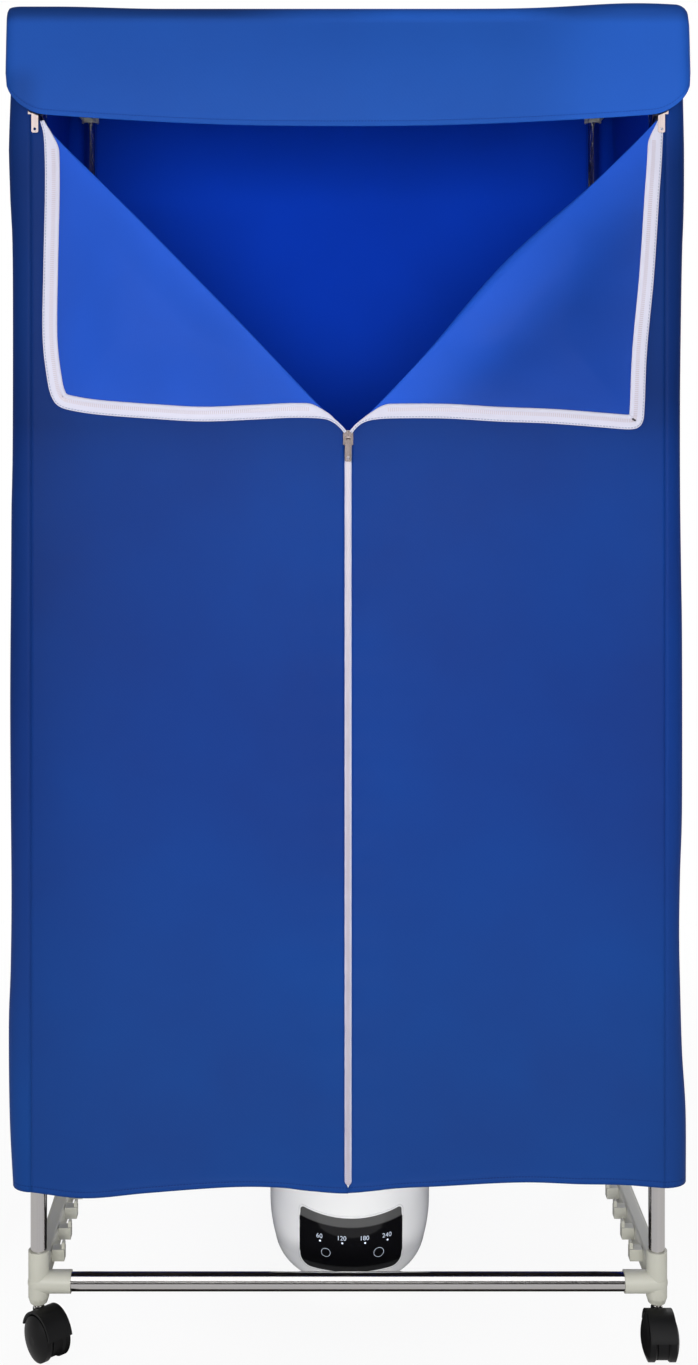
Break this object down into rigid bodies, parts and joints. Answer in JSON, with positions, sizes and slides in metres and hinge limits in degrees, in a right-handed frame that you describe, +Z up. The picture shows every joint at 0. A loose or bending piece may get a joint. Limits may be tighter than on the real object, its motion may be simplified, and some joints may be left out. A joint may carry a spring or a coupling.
{
  "type": "portable clothes dryer",
  "caption": "Portable clothes dryer: steel tube frame on casters under a zipped blue cloth cover, with a round fan heater standing below and rods for hangers inside.",
  "frame": {"origin": "on the floor, under the middle of the frame", "axes": "+X to the user's right, +Y to the back, +Z up; the zipped front faces -Y"},
  "size_m": [0.746, 0.5091, 1.4703],
  "materials": {
    "stainless_tube": "polished stainless steel tube",
    "frame_plastic": "ivory moulded plastic",
    "caster_plastic": "black moulded plastic",
    "stem_steel": "plated steel",
    "heater_shell": "white moulded plastic",
    "control_lens": "black glossy lens",
    "circuit_board": "green circuit board",
    "motor_case": "plated motor can",
    "fan_plastic": "black moulded fan",
    "element_metal": "heating element with fins",
    "foot_rubber": "rubber pad",
    "inlet_plastic": "black moulded socket",
    "cover_cloth": "blue coated cloth",
    "flap_cloth": "inner side of the blue cloth",
    "zip_tape": "pale woven zip tape",
    "zip_metal": "plated zip metal"
  },
  "bodies": {
    "frame": {"bottom_side_frame_left": "frame_plastic", "top_side_frame_left": "frame_plastic", "bottom_side_frame_right": "frame_plastic", "top_side_frame_right": "frame_plastic", "bottom_rail_front": "stainless_tube", "top_rail_front": "stainless_tube", "bottom_rail_rear": "stainless_tube", "top_rail_rear": "stainless_tube", "lower_upright_front_left": "stainless_tube", "upper_upright_front_left": "stainless_tube", "lower_upright_front_right": "stainless_tube", "upper_upright_front_right": "stainless_tube", "lower_upright_rear_left": "stainless_tube", "upper_upright_rear_left": "stainless_tube", "lower_upright_rear_right": "stainless_tube", "upper_upright_rear_right": "stainless_tube", "hanging_rods": "stainless_tube", "caster_stems": "stem_steel", "heater_base": "heater_shell", "heater_crown": "heater_shell", "heater_feet": "foot_rubber", "outlet_grille": "heater_shell", "control_panel": "control_lens", "control_board": "circuit_board", "fan_motor": "motor_case", "heating_element": "element_metal", "power_inlet": "inlet_plastic", "cover_top": "cover_cloth", "cover_back": "cover_cloth", "cover_header": "cover_cloth", "cover_side_left": "cover_cloth", "cover_side_right": "cover_cloth", "cover_front_left": "cover_cloth", "cover_front_right": "cover_cloth", "centre_zip": "zip_tape", "header_zip": "zip_tape"},
    "caster_front_left": {"caster_hood_front_left": "caster_plastic"},
    "wheel_front_left_a": {"caster_wheel_front_left_a": "caster_plastic"},
    "wheel_front_left_b": {"caster_wheel_front_left_b": "caster_plastic"},
    "caster_front_right": {"caster_hood_front_right": "caster_plastic"},
    "wheel_front_right_a": {"caster_wheel_front_right_a": "caster_plastic"},
    "wheel_front_right_b": {"caster_wheel_front_right_b": "caster_plastic"},
    "caster_rear_left": {"caster_hood_rear_left": "caster_plastic"},
    "wheel_rear_left_a": {"caster_wheel_rear_left_a": "caster_plastic"},
    "wheel_rear_left_b": {"caster_wheel_rear_left_b": "caster_plastic"},
    "caster_rear_right": {"caster_hood_rear_right": "caster_plastic"},
    "wheel_rear_right_a": {"caster_wheel_rear_right_a": "caster_plastic"},
    "wheel_rear_right_b": {"caster_wheel_rear_right_b": "caster_plastic"},
    "fan": {"fan_impeller": "fan_plastic"},
    "flap_left": {"flap_left": "flap_cloth", "flap_zip_left": "zip_tape"},
    "flap_right": {"flap_right": "flap_cloth", "flap_zip_right": "zip_tape"},
    "valance": {"valance": "cover_cloth"},
    "zip_slider_centre": {"zip_slider_centre": "zip_metal"},
    "zip_pull_centre": {"zip_pull_centre": "zip_metal"},
    "zip_slider_left": {"zip_slider_left": "zip_metal"},
    "zip_pull_left": {"zip_pull_left": "zip_metal"},
    "zip_slider_right": {"zip_slider_right": "zip_metal"},
    "zip_pull_right": {"zip_pull_right": "zip_metal"}
  },
  "joints": [
    {"name": "caster_swivel_front_left", "type": "hinge", "parent": "frame", "child": "caster_front_left", "pos_m": [-0.34, -0.215, 0.045], "axis": [0, 0, 1], "continuous": true},
    {"name": "wheel_spin_front_left_a", "type": "hinge", "parent": "caster_front_left", "child": "wheel_front_left_a", "pos_m": [-0.32852, -0.22821, 0.024], "axis": [0.7547, 0.6561, 0], "continuous": true},
    {"name": "wheel_spin_front_left_b", "type": "hinge", "parent": "caster_front_left", "child": "wheel_front_left_b", "pos_m": [-0.32852, -0.22821, 0.024], "axis": [0.7547, 0.6561, 0], "continuous": true},
    {"name": "caster_swivel_front_right", "type": "hinge", "parent": "frame", "child": "caster_front_right", "pos_m": [0.34, -0.215, 0.045], "axis": [0, 0, 1], "continuous": true},
    {"name": "wheel_spin_front_right_a", "type": "hinge", "parent": "caster_front_right", "child": "wheel_front_right_a", "pos_m": [0.34, -0.2325, 0.024], "axis": [1, 0, 0], "continuous": true},
    {"name": "wheel_spin_front_right_b", "type": "hinge", "parent": "caster_front_right", "child": "wheel_front_right_b", "pos_m": [0.34, -0.2325, 0.024], "axis": [1, 0, 0], "continuous": true},
    {"name": "caster_swivel_rear_left", "type": "hinge", "parent": "frame", "child": "caster_rear_left", "pos_m": [-0.34, 0.215, 0.045], "axis": [0, 0, 1], "continuous": true},
    {"name": "wheel_spin_rear_left_a", "type": "hinge", "parent": "caster_rear_left", "child": "wheel_rear_left_a", "pos_m": [-0.33402, 0.19856, 0.024], "axis": [0.9397, 0.342, 0], "continuous": true},
    {"name": "wheel_spin_rear_left_b", "type": "hinge", "parent": "caster_rear_left", "child": "wheel_rear_left_b", "pos_m": [-0.33402, 0.19856, 0.024], "axis": [0.9397, 0.342, 0], "continuous": true},
    {"name": "caster_swivel_rear_right", "type": "hinge", "parent": "frame", "child": "caster_rear_right", "pos_m": [0.34, 0.215, 0.045], "axis": [0, 0, 1], "continuous": true},
    {"name": "wheel_spin_rear_right_a", "type": "hinge", "parent": "caster_rear_right", "child": "wheel_rear_right_a", "pos_m": [0.33125, 0.19984, 0.024], "axis": [0.866, -0.5, 0], "continuous": true},
    {"name": "wheel_spin_rear_right_b", "type": "hinge", "parent": "caster_rear_right", "child": "wheel_rear_right_b", "pos_m": [0.33125, 0.19984, 0.024], "axis": [0.866, -0.5, 0], "continuous": true},
    {"name": "fan_spin", "type": "hinge", "parent": "frame", "child": "fan", "pos_m": [0.006, -0.025, 0.094], "axis": [0, 0, 1], "continuous": true},
    {"name": "flap_fold_left", "type": "hinge", "parent": "frame", "child": "flap_left", "pos_m": [-0.0048, -0.2374, 1.013], "axis": [-0.7007, 0, 0.7135], "range_deg": [0, 180]},
    {"name": "flap_fold_right", "type": "hinge", "parent": "frame", "child": "flap_right", "pos_m": [0.0048, -0.2374, 1.013], "axis": [-0.7007, 0, -0.7135], "range_deg": [0, 180]},
    {"name": "valance_lift", "type": "hinge", "parent": "frame", "child": "valance", "pos_m": [0, -0.2381, 1.4683], "axis": [-1, 0, 0], "range_deg": [0, 100]},
    {"name": "zip_travel_centre", "type": "slide", "parent": "frame", "child": "zip_slider_centre", "axis": [0, 0, -1], "range_m": [0, 0.8]},
    {"name": "zip_pull_swing_centre", "type": "hinge", "parent": "zip_slider_centre", "child": "zip_pull_centre", "pos_m": [0, -0.2414, 1.005], "axis": [-1, 0, 0], "range_deg": [0, 170]},
    {"name": "zip_travel_left", "type": "slide", "parent": "frame", "child": "zip_slider_left", "axis": [1, 0, 0], "range_m": [0, 0.3]},
    {"name": "zip_pull_swing_left", "type": "hinge", "parent": "zip_slider_left", "child": "zip_pull_left", "pos_m": [-0.34, -0.2414, 1.362], "axis": [-1, 0, 0], "range_deg": [0, 20]},
    {"name": "zip_travel_right", "type": "slide", "parent": "frame", "child": "zip_slider_right", "axis": [-1, 0, 0], "range_m": [0, 0.3]},
    {"name": "zip_pull_swing_right", "type": "hinge", "parent": "zip_slider_right", "child": "zip_pull_right", "pos_m": [0.34, -0.2414, 1.362], "axis": [-1, 0, 0], "range_deg": [0, 20]}
  ]
}
